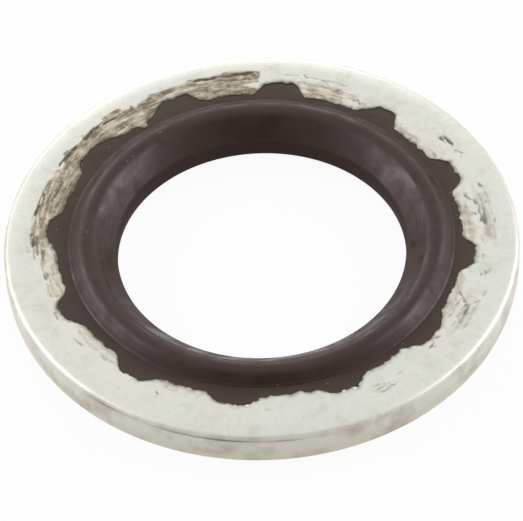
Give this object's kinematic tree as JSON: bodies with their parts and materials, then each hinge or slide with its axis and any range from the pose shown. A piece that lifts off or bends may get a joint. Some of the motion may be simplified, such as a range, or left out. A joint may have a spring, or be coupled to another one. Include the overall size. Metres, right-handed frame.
{
  "type": "bonded sealing washer",
  "caption": "Round bonded sealing washer: a flat steel ring with a rubber lip moulded into its toothed hole, for sealing under a bolt head or a union.",
  "frame": {"origin": "on the washer's axis, in the plane that the lower sealing bead stands on", "axes": "+Z along the bore axis, towards the side with the rolled outer edge"},
  "size_m": [0.0205, 0.0204, 0.0024],
  "materials": {
    "zinc_plated_steel": "stamped, zinc plated and clear passivated, satin",
    "nitrile_rubber": "moulded, dull satin, dark brown-grey"
  },
  "bodies": {
    "root": {"metal_ring": "zinc_plated_steel", "rubber_seal": "nitrile_rubber"}
  },
  "joints": []
}
